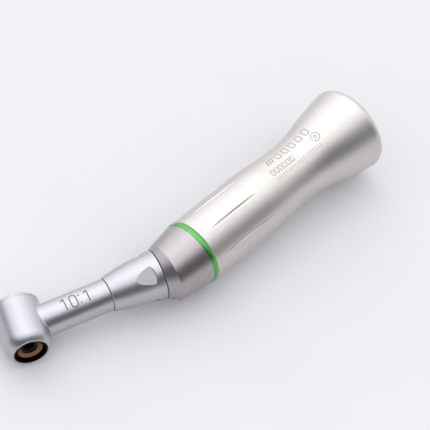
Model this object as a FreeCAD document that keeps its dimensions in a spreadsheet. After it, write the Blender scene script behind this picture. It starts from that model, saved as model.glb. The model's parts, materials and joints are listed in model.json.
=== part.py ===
"""Dental contra-angle handpiece, 10:1 reduction, as separate pieces on three meeting axes.

The handle axis and the neck axis cross at the bend.  The neck axis and the bur axis cross in the
middle of the head.  Every piece is drawn about its own Z axis, with Z = 0 at its first end, and is
then placed on one of these three axes:

    handle axis   Z towards the motor coupling, X towards the inner side of the bend
    neck axis     Z towards the head, X towards the bur side
    bur axis      Z out of the head's opening, X towards the rear

The handpiece lies on its side, as it is put down on a table, with the cap's side towards +Y.
"""
import FreeCAD, Part

import math
import os

import Sketcher
from FreeCAD import Placement, Rotation, Vector

DIMENSIONS = {
    # the three axes, and how the handpiece lies
    "bend_angle": 18.0,
    "bend_at": -5.5,
    "neck_length": 35.56,
    "bur_tilt": 6.7,
    "rest_pitch": 2.669,
    "rest_roll": -3.442,
    # handle shell: stations along the handle axis from the colour ring's middle, and radii
    "ring_half_width": 0.56,
    "ring_radius": 7.84,
    "ring_crown": 2.6,
    "shell_front": 0.65,
    "shell_edge": 0.15,
    "shell_radius": 7.76,
    "straight_end": 18.4,
    "shoulder_at": 24.2,
    "shoulder_radius": 7.495,
    "shoulder_arc": 65.0,
    "waist_at": 31.3,
    "waist_radius": 7.18,
    "waist_front_arc": 80.0,
    "waist_rear_arc": 30.0,
    "flare_at": 38.5,
    "flare_radius": 8.044,
    "flare_arc": 96.0,
    "rim_at": 50.0,
    "rim_radius": 10.25,
    "rim_arc": 1.75,
    "shell_rear": 51.9,
    "rear_face_radius": 9.0,
    "rear_recess_radius": 8.86,
    "shell_bore": 6.5,
    "rear_bore": 6.02,
    "rear_bore_front": 24.6,
    "relief_front": 40.5,
    "relief_front_radius": 6.9,
    "relief_rear_radius": 8.2,
    "grooves": 8,
    "groove_turn": 17.5,
    "groove_middle": 10.8,
    "groove_length": 14.8,
    "groove_depth": 0.2,
    "groove_round": 0.7,
    # rear coupling
    "coupling_front": 27.0,
    "coupling_outer": 6.0,
    "coupling_bore": 5.2,
    "coupling_step_at": 34.5,
    "coupling_throat": 4.4,
    "coupling_rear": 51.1,
    "flange_front": 49.5,
    "flange_radius": 8.84,
    "latch_groove_at": 44.9,
    "latch_groove_width": 1.2,
    "latch_groove_depth": 0.4,
    "entry_chamfer": 0.4,
    # nose cone
    "nose_rear": -0.61,
    "nose_rear_radius": 7.72,
    "nose_tip_at": 6.5,
    "nose_tip_radius": 5.99,
    "nose_front_at": 3.88,
    "nose_front_radius": 5.72,
    "nose_edge": 0.08,
    "collar_length": 4.0,
    "collar_radius": 7.98,
    "collar_clear": 10.0,
    "spigot_radius": 6.47,
    "spigot_end": 4.4,
    "spigot_bore": 5.45,
    "carrier_seat_front": -3.2,
    "gear_room": 3.6,
    "thread_radius": 4.6,
    "thread_end": 6.6,
    # front sleeve, neck and head
    "sleeve_rear": 3.96,
    "sleeve_rear_radius": 5.6,
    "sleeve_front": 15.84,
    "sleeve_front_radius": 3.93,
    "sleeve_arc": 60.0,
    "sleeve_edge": 0.12,
    "sleeve_seat_end": 6.9,
    "sleeve_clearance": 0.03,
    "flats": 4,
    "flat_turn": 59.3,
    "flat_distance": 5.05,
    "flat_rear": 5.5,
    "flat_reach": 6.5,
    "flat_round": 3.3,
    "neck_radius": 3.65,
    "neck_rear": 7.0,
    "neck_front": 15.94,
    "neck_tail_radius": 3.2,
    "neck_bore": 2.3,
    "neck_seat_end": 8.52,
    "head_radius": 5.2,
    "head_top": -5.3,
    "head_bottom": 6.12,
    "head_round_start": 3.7,
    "lip_radius": 4.18,
    "head_round": 3.3,
    "lip_edge": 0.12,
    "head_bore": 4.3,
    "lower_bore_start": -2.15,
    "lower_bore": 3.8,
    "lower_bore_end": 4.15,
    "opening_radius": 3.4,
    "opening_edge": 0.12,
    "neck_blend": 0.5,
    # cap and push button
    "cap_top": -6.17,
    "cap_bevel": 0.35,
    "cap_top_radius": 4.88,
    "cap_rim_gap": 0.05,
    "cap_spigot": 4.28,
    "cap_hole": 3.0,
    "cap_lip": 0.55,
    "cap_room": 3.55,
    "cap_seat": 3.42,
    "cap_seat_at": -3.62,
    "cap_end": -2.2,
    "cap_ledge": 0.15,
    "cap_ledge_width": 0.5,
    "cap_notches": 4,
    "cap_notch_width": 0.7,
    "cap_notch_depth": 0.45,
    "button_radius": 2.92,
    "button_proud": 0.25,
    "button_dish": 0.12,
    "button_flange": 3.4,
    "button_flange_thick": 0.35,
    "button_pin": 0.75,
    "button_pin_tip": -3.2,
    "button_wire": 0.1,
    "button_coil": 2.3,
    "button_coil_end": 3.1,
    "button_turns": 2,
    # ball bearings: inner radius, outer radius, width and number of balls
    "bearing_balls": 7,
    "head_journal": 1.65,
    "upper_bearing_outer": 3.4,
    "lower_bearing_outer": 3.78,
    "head_bearing_width": 1.4,
    "upper_bearing_at": -3.6,
    "lower_bearing_at": 2.7,
    "neck_bearing_at": 7.02,
    "neck_bearing_outer": 2.7,
    "neck_bearing_width": 1.5,
    "neck_journal": 1.0,
    "carrier_bearing_outer": 4.0,
    "carrier_bearing_width": 2.1,
    "shaft_journal": 1.5,
    "shaft_bearing_front": 9.15,
    "shaft_bearing_rear": 22.25,
    # gears
    "pressure_angle": 25.0,
    "planet_module": 0.215,
    "sun_teeth": 12,
    "planet_teeth": 18,
    "ring_teeth": 48,
    "planets": 3,
    "backlash": 0.035,
    "bend_teeth": 14,
    "bend_gear_reach": 2.95,
    "bend_gear_inner": 1.75,
    "pinion_teeth": 8,
    "head_teeth": 16,
    "head_gear_reach": 3.11,
    "head_gear_inner": 2.3,
    "bevel_backlash": 0.07,
    # planet stage and input shaft
    "carrier_plate_at": 3.0,
    "carrier_plate": 1.2,
    "carrier_plate_radius": 4.9,
    "carrier_shaft_front": -4.1,
    "planet_pin": 0.7,
    "planet_pin_clearance": 0.04,
    "planet_gear_at": 4.7,
    "planet_gear_width": 4.0,
    "ring_gear_at": 4.5,
    "ring_gear_end": 9.0,
    "sun_gear_at": 4.9,
    "sun_bore": 0.6,
    "housing_front": 9.1,
    "housing_rear": 24.4,
    "housing_bore": 3.0,
    "shaft_collar": 2.0,
    "hex_half_width": 1.3,
    "hex_clearance": 0.04,
    "shaft_rear": 31.4,
    "clip_at": 30.95,
    "clip_width": 0.3,
    "clip_depth": 0.3,
    "clip_radius": 1.95,
    "dog_front": 28.4,
    "dog_radius": 3.2,
    "dog_shoulder": 30.9,
    "dog_rear": 33.9,
    "dog_cup": 2.15,
    "dog_slot_width": 2.2,
    "dog_slot_depth": 2.0,
    "dog_wire": 0.2,
    "dog_coil": 2.1,
    "dog_turns": 4.5,
    # neck shaft, bush and chuck
    "neck_shaft_rear": 1.5,
    "neck_shaft_front": 32.25,
    "neck_shaft_tip": 33.3,
    "neck_tip_radius": 0.6,
    "bush_at": 28.8,
    "bush_length": 1.8,
    "running_clearance": 0.03,
    "spindle_top": -3.6,
    "spindle_bottom": 4.3,
    "spindle_bore": 1.42,
    "head_gear_back": 2.35,
    "collet_outer": 1.4,
    "collet_top": -2.7,
    "collet_end": 5.42,
    "collet_flange_at": 4.35,
    "collet_flange": 2.85,
    "collet_mouth": 1.8,
    "collet_dish": 0.42,
    "collet_step": 0.35,
    "collet_lead": 0.3,
    "bur_bore": 1.18,
    "collet_slots": 3,
    "collet_slot_width": 0.3,
    "collet_slot_length": 5.5,
}

doc = FreeCAD.newDocument("contra_angle_handpiece")
sheet = doc.addObject("Spreadsheet::Sheet", "Dimensions")


class Size:
    """A length or count from the sheet that remembers the expression it came from."""

    def __init__(self, value, text):
        self.value = value
        self.text = text

    def join(self, other, sign, value):
        other_text = other.text if isinstance(other, Size) else repr(other)
        return Size(value, "(%s %s %s)" % (self.text, sign, other_text))

    def __add__(self, other):
        return self.join(other, "+", self.value + number(other))

    def __sub__(self, other):
        return self.join(other, "-", self.value - number(other))

    def __mul__(self, other):
        return self.join(other, "*", self.value * number(other))

    def __truediv__(self, other):
        return self.join(other, "/", self.value / number(other))

    def __neg__(self):
        return Size(-self.value, "(0 - %s)" % self.text)


def number(size):
    return size.value if isinstance(size, Size) else float(size)


def fill_sheet():
    """Write the dimensions into the sheet and hand them back as named sizes."""
    for row, (name, value) in enumerate(DIMENSIONS.items(), start=1):
        sheet.set("A%d" % row, name)
        sheet.set("B%d" % row, repr(value))
        sheet.setAlias("B%d" % row, name)
    doc.recompute()
    return {name: Size(float(getattr(sheet, name)), "Dimensions." + name) for name in DIMENSIONS}


SIZES = fill_sheet()


class Names:
    """Dotted access to the sheet's sizes: d.neck_radius."""

    def __getattr__(self, name):
        return SIZES[name]


d = Names()
parts = []


# --- sketches and features ---------------------------------------------------------------------

def new_body(label):
    body = doc.addObject("PartDesign::Body", label)
    body.Label = label
    return body


def origin_plane(body, role):
    return next(item for item in body.Origin.OriginFeatures if item.Role == role)


def new_sketch(body, role, offset=None):
    """An empty sketch on one of the body's own origin planes."""
    sketch = body.newObject("Sketcher::SketchObject", body.Name + "_sketch")
    sketch.AttachmentSupport = [(origin_plane(body, role), "")]
    sketch.MapMode = "FlatFace"
    if offset is not None:
        sketch.AttachmentOffset = offset
    return sketch


def bind(sketch, kind, place, size):
    """Add one dimension to a sketch and bind it to the sheet; a zero becomes a point on an axis."""
    if kind != "Radius" and number(size) == 0:
        axis = -2 if kind == "DistanceX" else -1
        sketch.addConstraint(Sketcher.Constraint("PointOnObject", *place, axis))
        return
    first = () if kind == "Radius" else (-1, 1)
    index = sketch.addConstraint(Sketcher.Constraint(kind, *first, *place, number(size)))
    if isinstance(size, Size):
        sketch.setExpression("Constraints[%d]" % index, size.text)


def arc_through(start, end, radius):
    """The smaller arc from start to end, and whether it runs counter-clockwise."""
    chord = end - start
    left = Vector(-chord.y, chord.x, 0).normalize()
    height = math.sqrt(max(radius * radius - chord.Length ** 2 / 4, 0))
    centre = (start + end) * 0.5 + left * math.copysign(height, radius)
    angles = [math.atan2(p.y - centre.y, p.x - centre.x) for p in (start, end)]
    circle = Part.Circle(centre, Vector(0, 0, 1), abs(radius))
    if radius > 0:
        return Part.ArcOfCircle(circle, angles[0], angles[1]), True
    return Part.ArcOfCircle(circle, angles[1], angles[0]), False


def draw_outline(sketch, points):
    """Draw a closed outline.  Each point is (across, along), or (across, along, radius) where an
    arc leaves it: a positive radius turns left, towards the inside of a counter-clockwise loop."""
    corners = [Vector(number(p[0]), number(p[1]), 0) for p in points]
    ends = []
    for index, point in enumerate(points):
        start = corners[index]
        end = corners[(index + 1) % len(points)]
        if len(point) == 3:
            arc, forward = arc_through(start, end, number(point[2]))
            edge = sketch.addGeometry(arc, False)
            ends.append((edge, 1, 2) if forward else (edge, 2, 1))
        else:
            edge = sketch.addGeometry(Part.LineSegment(start, end), False)
            ends.append((edge, 1, 2))
    for index, point in enumerate(points):
        edge, first, last = ends[index]
        following, follow_first, _ = ends[(index + 1) % len(points)]
        sketch.addConstraint(Sketcher.Constraint("Coincident", edge, last, following, follow_first))
        bind(sketch, "DistanceX", (edge, first), point[0])
        bind(sketch, "DistanceY", (edge, first), point[1])
        if len(point) == 3:
            size = point[2] if number(point[2]) > 0 else -point[2]
            bind(sketch, "Radius", (edge,), size)


def draw_circle(sketch, across, along, radius):
    centre = Vector(number(across), number(along), 0)
    edge = sketch.addGeometry(Part.Circle(centre, Vector(0, 0, 1), number(radius)), False)
    bind(sketch, "DistanceX", (edge, 3), across)
    bind(sketch, "DistanceY", (edge, 3), along)
    bind(sketch, "Radius", (edge,), radius)


def turn(body, points, offset=None, cut=False):
    """Turn an outline of (radius, height) points about the sketch's upright axis."""
    sketch = new_sketch(body, "XZ_Plane", offset)
    draw_outline(sketch, points)
    kind = "PartDesign::Groove" if cut else "PartDesign::Revolution"
    feature = body.newObject(kind, body.Name + ("_groove" if cut else "_turned"))
    feature.Profile = sketch
    feature.ReferenceAxis = (sketch, ["V_Axis"])
    feature.Angle = 360
    return feature


def ring_outline(inner, outer, start, end):
    return [(inner, start), (outer, start), (outer, end), (inner, end)]


def cut_through(body, sketch, length, reverse=False):
    pocket = body.newObject("PartDesign::Pocket", body.Name + "_pocket")
    pocket.Profile = sketch
    pocket.Type = "Length"
    pocket.setExpression("Length", length.text)
    pocket.Reversed = reverse
    return pocket


def repeat_around(body, feature, count):
    """Repeat a feature evenly about the body's Z axis."""
    pattern = body.newObject("PartDesign::PolarPattern", body.Name + "_pattern")
    pattern.Originals = [feature]
    pattern.Axis = (origin_plane(body, "Z_Axis"), [""])
    pattern.Angle = 360
    pattern.setExpression("Occurrences", count.text)
    body.Tip = pattern
    return pattern


def must_cut(body, volume_before, what):
    doc.recompute()
    if body.Shape.Volume >= volume_before - 1e-4:
        raise RuntimeError("%s: the %s removed nothing" % (body.Label, what))


def only_solid(shape, label):
    """The one solid that a cut has left; more than one means that the piece fell apart."""
    if len(shape.Solids) != 1:
        raise RuntimeError("%s is %d solids" % (label, len(shape.Solids)))
    return shape.Solids[0]


# --- the three axes ----------------------------------------------------------------------------

def plane_placement(origin, along):
    """A frame whose Z runs along a direction in the plane of the axes, and whose Y is up."""
    up = Vector(0, 0, 1)
    side = up.cross(along)
    return Placement(origin, Rotation(side, up, along, "ZXY"))


def axis_frames():
    """Frames of the three axes, before the handpiece is laid down."""
    bend = math.radians(d.bend_angle.value)
    tilt = math.radians(d.bur_tilt.value)
    bend_point = Vector(d.bend_at.value, 0, 0)
    neck_way = Vector(-math.cos(bend), math.sin(bend), 0)
    neck_side = Vector(0, 0, 1).cross(neck_way)
    head_point = bend_point + neck_way * d.neck_length.value
    bur_way = neck_side * math.cos(tilt) + neck_way * math.sin(tilt)
    return {
        "handle": plane_placement(Vector(0, 0, 0), Vector(1, 0, 0)),
        "neck": plane_placement(bend_point, neck_way),
        "head": plane_placement(head_point, bur_way),
    }


FRAMES = axis_frames()


def place(part, axis, at=0.0, turned=0.0, offset=(0.0, 0.0)):
    """Put a sub-part on an axis: its Z = 0 at a station, turned about that axis."""
    station = Vector(number(offset[0]), number(offset[1]), number(at))
    local = Placement(station, Rotation(Vector(0, 0, 1), number(turned)))
    part.Placement = FRAMES[axis] * local
    parts.append(part)
    return part


# --- casings -----------------------------------------------------------------------------------

def handle_shell():
    """Grip: straight front with long shallow grooves, a waist, and a flare for the motor."""
    body = new_body("handle_shell")
    start = d.shell_front
    turn(body, [
        (d.shell_bore, d.shell_front - start),
        (d.shell_radius - d.shell_edge, d.shell_front - start),
        (d.shell_radius, d.shell_edge),
        (d.shell_radius, d.straight_end - start, d.shoulder_arc),
        (d.shoulder_radius, d.shoulder_at - start, -d.waist_front_arc),
        (d.waist_radius, d.waist_at - start, -d.waist_rear_arc),
        (d.flare_radius, d.flare_at - start, d.flare_arc),
        (d.rim_radius, d.rim_at - start, d.rim_arc),
        (d.rear_face_radius, d.shell_rear - start),
        (d.rear_recess_radius, d.shell_rear - start),
        (d.rear_recess_radius, d.flange_front - start),
        (d.relief_rear_radius, d.flange_front - start),
        (d.relief_front_radius, d.relief_front - start),
        (d.rear_bore, d.relief_front - start),
        (d.rear_bore, d.rear_bore_front - start),
        (d.shell_bore, d.rear_bore_front - start),
    ])
    doc.recompute()
    smooth_volume = body.Shape.Volume
    groove = scallop(body, d.groove_middle - start)
    must_cut(body, smooth_volume, "grip groove")
    repeat_around(body, groove, d.grooves)
    return place(body, "handle", start, d.groove_turn)


def scallop(body, middle):
    """One lens-shaped groove, cut by a large thin wheel that dips into the grip."""
    depth = d.groove_depth.value
    wheel = d.groove_length.value ** 2 / (8 * depth)
    offset = Placement(Vector(0, 0, middle.value), Rotation())
    sketch = new_sketch(body, "XY_Plane", offset)
    draw_circle(sketch, d.shell_radius - d.groove_depth + d.groove_round, 0, d.groove_round)
    centre = d.shell_radius.value - depth + wheel
    axle = Part.LineSegment(Vector(centre, -1, 0), Vector(centre, 1, 0))
    sketch.addGeometry(axle, True)
    groove = body.newObject("PartDesign::Groove", body.Name + "_scallop")
    groove.Profile = sketch
    groove.ReferenceAxis = (sketch, ["Axis0"])
    groove.Midplane = True
    groove.Angle = 1.2 * math.degrees(d.groove_length.value / wheel)
    return groove


def ratio_ring():
    """Green colour ring between nose cone and grip."""
    body = new_body("ratio_ring")
    turn(body, [
        (d.shell_bore, 0),
        (d.shell_radius, 0),
        (d.ring_radius, d.ring_half_width * 0.4, d.ring_crown),
        (d.ring_radius, d.ring_half_width * 1.6),
        (d.shell_radius, d.ring_half_width * 2),
        (d.shell_bore, d.ring_half_width * 2),
    ])
    return place(body, "handle", -d.ring_half_width)


def nose_cone():
    """Bent cone between grip and neck, with a spigot at each end and room for the bend gears."""
    body = new_body("nose_cone")
    rear = d.nose_rear - d.bend_at
    turn(body, [
        (0, d.nose_tip_at * -1),
        (d.nose_tip_radius, d.nose_tip_at * -1),
        (d.nose_rear_radius, rear),
        (0, rear),
    ])
    front_frame = neck_side_frame()
    turn(body, [
        (0, d.nose_front_at),
        (d.nose_front_radius - d.nose_edge, d.nose_front_at),
        (d.nose_front_radius, d.nose_front_at - d.nose_edge),
        (d.collar_radius, d.nose_front_at - d.collar_length),
        (d.collar_clear, d.nose_front_at - d.collar_length),
        (d.collar_clear, d.nose_front_at + d.nose_tip_at),
        (0, d.nose_front_at + d.nose_tip_at),
    ], front_frame, cut=True)
    turn(body, [
        (0, rear - 1.0),
        (d.spigot_radius, rear - 1.0),
        (d.spigot_radius, d.spigot_end - d.bend_at),
        (0, d.spigot_end - d.bend_at),
    ])
    turn(body, [
        (0, d.nose_front_at - 1.0),
        (d.thread_radius, d.nose_front_at - 1.0),
        (d.thread_radius, d.thread_end),
        (0, d.thread_end),
    ], front_frame)
    seat_end = d.carrier_seat_front + d.carrier_bearing_width - d.bend_at
    turn(body, [
        (0, 0),
        (d.gear_room, 0),
        (d.gear_room, d.carrier_seat_front - d.bend_at),
        (d.carrier_bearing_outer, d.carrier_seat_front - d.bend_at),
        (d.carrier_bearing_outer, seat_end),
        (d.spigot_bore, seat_end + 0.4),
        (d.spigot_bore, d.spigot_end - d.bend_at + 1.0),
        (0, d.spigot_end - d.bend_at + 1.0),
    ], cut=True)
    turn(body, [
        (0, 0),
        (d.gear_room, 0),
        (d.gear_room, d.thread_end + 1.0),
        (0, d.thread_end + 1.0),
    ], front_frame, cut=True)
    return place(body, "handle", d.bend_at)


def neck_side_frame():
    """In-plane turn that points an upright sketch axis from the bend along the neck."""
    return Placement(Vector(0, 0, 0), Rotation(Vector(0, 0, 1), 180.0 + d.bend_angle.value))


def front_sleeve():
    """Tapered sleeve nut that screws on the nose cone, with four spanner flats."""
    body = new_body("front_sleeve")
    start = d.sleeve_rear
    seat = d.thread_radius + d.sleeve_clearance
    bore = d.neck_tail_radius + d.sleeve_clearance
    turn(body, [
        (seat, 0),
        (d.sleeve_rear_radius - d.sleeve_edge, 0),
        (d.sleeve_rear_radius, d.sleeve_edge, d.sleeve_arc),
        (d.sleeve_front_radius, d.sleeve_front - start - d.sleeve_edge),
        (d.sleeve_front_radius - d.sleeve_edge, d.sleeve_front - start),
        (bore, d.sleeve_front - start),
        (bore, d.sleeve_seat_end - start),
        (seat, d.sleeve_seat_end - start),
    ])
    doc.recompute()
    round_volume = body.Shape.Volume
    offset = Placement(Vector(0, 0, d.flat_distance.value), Rotation())
    sketch = new_sketch(body, "YZ_Plane", offset)
    rear = d.flat_rear - start
    side = d.flat_round
    draw_outline(sketch, [
        (0, rear, d.flat_round),
        (side, rear + d.flat_round),
        (side, rear + d.flat_reach),
        (-side, rear + d.flat_reach),
        (-side, rear + d.flat_round, d.flat_round),
    ])
    pocket = cut_through(body, sketch, d.flat_round, reverse=True)
    must_cut(body, round_volume, "spanner flat")
    repeat_around(body, pocket, d.flats)
    return place(body, "neck", start, d.flat_turn)


def head_neck():
    """Neck tube and round head in one piece, bored along the neck and across for the chuck."""
    body = new_body("head_neck")
    start = d.neck_rear
    centre = d.neck_length - start
    turn(body, [
        (0, 0),
        (d.neck_tail_radius, 0),
        (d.neck_tail_radius, d.neck_front - start),
        (d.neck_radius, d.neck_front - start),
        (d.neck_radius, centre),
        (0, centre),
    ])
    height = -d.head_top
    frame = head_sketch_frame(centre, d.head_top)
    turn(body, [
        (0, 0),
        (d.head_radius, 0),
        (d.head_radius, height + d.head_round_start, d.head_round),
        (d.lip_radius, height + d.head_bottom - d.lip_edge, d.lip_edge * 2),
        (d.lip_radius - d.lip_edge, height + d.head_bottom),
        (0, height + d.head_bottom),
    ], frame)
    doc.recompute()
    blend_neck(body)
    turn(body, [
        (0, 0),
        (d.neck_bearing_outer + 0.01, 0),
        (d.neck_bearing_outer + 0.01, d.neck_seat_end - start),
        (d.neck_bore, d.neck_seat_end - start),
        (d.neck_bore, centre),
        (0, centre),
    ], cut=True)
    turn(body, [
        (0, 0),
        (d.head_bore, 0),
        (d.head_bore, height + d.lower_bore_start),
        (d.lower_bore, height + d.lower_bore_start),
        (d.lower_bore, height + d.lower_bore_end),
        (d.opening_radius, height + d.lower_bore_end),
        (d.opening_radius, height + d.head_bottom - d.opening_edge),
        (d.opening_radius + d.opening_edge, height + d.head_bottom),
        (0, height + d.head_bottom),
    ], frame, cut=True)
    return place(body, "neck", start)


def blend_neck(body):
    """Round the corner where the neck runs into the head: its only edges that are no circles."""
    joined = body.Tip
    names = []
    for index, edge in enumerate(joined.Shape.Edges, start=1):
        if isinstance(edge.Curve, Part.BSplineCurve):
            names.append("Edge%d" % index)
    fillet = body.newObject("PartDesign::Fillet", "neck_blend")
    fillet.Base = (joined, names)
    fillet.setExpression("Radius", d.neck_blend.text)
    doc.recompute()


def head_sketch_frame(centre, start):
    """Offset of an upright sketch in the neck's frame so that it stands on the bur axis."""
    tilt = math.radians(d.bur_tilt.value)
    across = math.cos(tilt) * start.value
    along = centre.value + math.sin(tilt) * start.value
    spin = Rotation(Vector(0, 0, 1), d.bur_tilt.value - 90.0)
    return Placement(Vector(across, along, 0), spin)


def head_cap():
    """Screwed cap that holds the button down and the upper bearing in."""
    body = new_body("head_cap")
    top = d.cap_top
    rim = d.head_top - d.cap_rim_gap - top
    turn(body, [
        (d.cap_hole, 0),
        (d.cap_top_radius, 0),
        (d.head_radius, d.cap_bevel),
        (d.head_radius, rim),
        (d.cap_spigot, rim),
        (d.cap_spigot, d.cap_end - top),
        (d.cap_seat, d.cap_end - top),
        (d.cap_seat, d.cap_seat_at - top),
        (d.cap_seat - d.cap_ledge_width, d.cap_seat_at - top),
        (d.cap_seat - d.cap_ledge_width, d.cap_seat_at - top - d.cap_ledge),
        (d.cap_room, d.cap_seat_at - top - d.cap_ledge),
        (d.cap_room, d.cap_lip),
        (d.cap_hole, d.cap_lip),
    ])
    doc.recompute()
    plain_volume = body.Shape.Volume
    sketch = new_sketch(body, "XY_Plane")
    half = d.cap_notch_width / 2
    inner = d.head_radius - d.cap_notch_depth
    outer = d.head_radius + 1.0
    draw_outline(sketch, [(inner, -half), (outer, -half), (outer, half), (inner, half)])
    pocket = cut_through(body, sketch, rim, reverse=True)
    must_cut(body, plain_volume, "spanner notch")
    repeat_around(body, pocket, d.cap_notches)
    return place(body, "head", top, 90.0)


def push_button():
    """Button with a retaining flange and the pin that opens the collet."""
    body = new_body("push_button")
    top = d.cap_top - d.button_proud
    flange = d.cap_top + d.cap_lip + 0.02 - top
    under = flange + d.button_flange_thick
    tip = d.button_pin_tip - top
    turn(body, [
        (0, d.button_dish),
        (d.button_radius * 0.7, d.button_dish, -d.button_radius * 9),
        (d.button_radius - 0.2, 0),
        (d.button_radius, 0.2),
        (d.button_radius, flange),
        (d.button_flange, flange),
        (d.button_flange, under),
        (d.button_pin, under),
        (d.button_pin, tip),
        (0, tip),
    ])
    return place(body, "head", top)


def coupling_sleeve():
    """Steel socket for the motor's nose, with its latch groove and the rear flange."""
    body = new_body("coupling_sleeve")
    start = d.coupling_front
    latch = d.latch_groove_at - start
    latch_wall = d.coupling_bore + d.latch_groove_depth
    end = d.coupling_rear - start
    turn(body, [
        (d.coupling_throat, 0),
        (d.coupling_outer, 0),
        (d.coupling_outer, d.flange_front - start),
        (d.flange_radius, d.flange_front - start),
        (d.flange_radius, end - 0.2),
        (d.flange_radius - 0.2, end),
        (d.coupling_bore + d.entry_chamfer, end),
        (d.coupling_bore, end - d.entry_chamfer),
        (d.coupling_bore, latch + d.latch_groove_width),
        (latch_wall, latch + d.latch_groove_width),
        (latch_wall, latch),
        (d.coupling_bore, latch),
        (d.coupling_bore, d.coupling_step_at - start),
        (d.coupling_throat, d.coupling_step_at - start),
    ])
    return place(body, "handle", start)


def shaft_housing():
    """Tube inside the grip that carries the input shaft's two bearings."""
    body = new_body("shaft_housing")
    start = d.housing_front
    length = d.housing_rear - start
    seat = d.carrier_bearing_outer + 0.01
    depth = d.carrier_bearing_width + 0.1
    turn(body, [
        (seat, 0),
        (d.spigot_radius, 0),
        (d.spigot_radius, length),
        (seat, length),
        (seat, length - depth),
        (d.housing_bore, length - depth),
        (d.housing_bore, depth),
        (seat, depth),
    ])
    return place(body, "handle", start)


# --- ball bearings -----------------------------------------------------------------------------

def ball_bearing(name, axis, at, inner, outer, width):
    """Outer ring, inner ring, cage and balls of one bearing, each its own sub-part."""
    middle = (inner + outer) / 2
    ball = (outer - inner) * 0.27
    race_gap = ball * 0.55
    groove = ball + 0.02
    bearing_ring(name + "_outer_ring", axis, at, middle + race_gap, outer, middle, groove, width)
    bearing_ring(name + "_inner_ring", axis, at, inner, middle - race_gap, middle, groove, width)
    ball_cage(name + "_cage", axis, at, middle, ball, width)
    balls = doc.addObject("Part::Feature", name + "_balls")
    balls.Label = name + "_balls"
    balls.Shape = Part.makeCompound(ball_spheres(middle, ball, width, 0.0))
    place(balls, axis, at)


def bearing_ring(label, axis, at, inner, outer, middle, groove, width):
    """A plain ring with a ball groove turned into the side that faces the balls."""
    body = new_body(label)
    turn(body, ring_outline(inner, outer, 0, width))
    sketch = new_sketch(body, "XZ_Plane")
    draw_circle(sketch, middle, width / 2, groove)
    cut = body.newObject("PartDesign::Groove", label + "_race")
    cut.Profile = sketch
    cut.ReferenceAxis = (sketch, ["V_Axis"])
    cut.Angle = 360
    return place(body, axis, at)


def ball_spheres(middle, ball, width, clearance):
    """One sphere for each ball, or for each pocket when a clearance is given."""
    count = int(d.bearing_balls.value)
    spheres = []
    for index in range(count):
        angle = 2 * math.pi * index / count
        centre = Vector(math.cos(angle), math.sin(angle), 0) * middle.value
        centre.z = width.value / 2
        spheres.append(Part.makeSphere(ball.value + clearance, centre))
    return spheres


def ball_cage(label, axis, at, middle, ball, width):
    """A thin ring with a round pocket for each ball."""
    half_wall = ball.value * 0.4
    margin = width.value * 0.06
    height = width.value - 2 * margin
    foot = Vector(0, 0, margin)
    cage = Part.makeCylinder(middle.value + half_wall, height, foot)
    cage = cage.cut(Part.makeCylinder(middle.value - half_wall, height, foot))
    cage = cage.cut(Part.makeCompound(ball_spheres(middle, ball, width, 0.03)))
    feature = doc.addObject("Part::Feature", label)
    feature.Label = label
    feature.Shape = only_solid(cage, label)
    return place(feature, axis, at)


def all_bearings():
    ball_bearing("upper_bearing", "head", d.upper_bearing_at, d.head_journal,
                 d.upper_bearing_outer, d.head_bearing_width)
    ball_bearing("lower_bearing", "head", d.lower_bearing_at, d.head_journal,
                 d.lower_bearing_outer, d.head_bearing_width)
    ball_bearing("neck_bearing", "neck", d.neck_bearing_at, d.neck_journal,
                 d.neck_bearing_outer, d.neck_bearing_width)
    ball_bearing("carrier_bearing", "handle", d.carrier_seat_front, d.shaft_journal,
                 d.carrier_bearing_outer, d.carrier_bearing_width)
    for name, at in (("shaft_front_bearing", d.shaft_bearing_front),
                     ("shaft_rear_bearing", d.shaft_bearing_rear)):
        ball_bearing(name, "handle", at, d.shaft_journal,
                     d.carrier_bearing_outer, d.carrier_bearing_width)


# --- gear teeth --------------------------------------------------------------------------------

def involute(angle):
    return math.tan(angle) - angle


def half_tooth(radius, teeth, module, thickness):
    """Half the angle that a tooth fills at a radius, for a tooth this thick at its pitch circle."""
    pressure = math.radians(d.pressure_angle.value)
    pitch = teeth * module / 2
    base = pitch * math.cos(pressure)
    local = math.acos(min(base / radius, 1.0))
    return thickness / (2 * pitch) + involute(pressure) - involute(local)


def flank_radii(low, high, steps=4):
    return [low + (high - low) * step / steps for step in range(steps + 1)]


def gear_face(teeth, module, low, high, thickness):
    """Flat outline of a whole spur gear: involute flanks between root and tip circles."""
    points = []
    radii = flank_radii(low, high)
    for tooth in range(teeth):
        middle = 2 * math.pi * tooth / teeth
        halves = [half_tooth(radius, teeth, module, thickness) for radius in radii]
        rising = [(radius, middle - half) for radius, half in zip(radii, halves)]
        falling = [(radius, middle + half) for radius, half in zip(radii, halves)][::-1]
        points += [Vector(r * math.cos(a), r * math.sin(a), 0) for r, a in rising + falling]
    return Part.Face(Part.makePolygon(points + points[:1]))


def spur_gear(label, teeth, bore, width):
    """An outside gear of the planet stage with a round bore."""
    module = d.planet_module.value
    pitch = teeth.value * module / 2
    thickness = math.pi * module / 2 - d.backlash.value
    face = gear_face(int(teeth.value), module, pitch - 1.2 * module, pitch + 0.95 * module, thickness)
    gear = face.extrude(Vector(0, 0, width))
    gear = gear.cut(Part.makeCylinder(bore, width))
    feature = doc.addObject("Part::Feature", label)
    feature.Label = label
    feature.Shape = only_solid(gear, label)
    return feature


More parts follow.
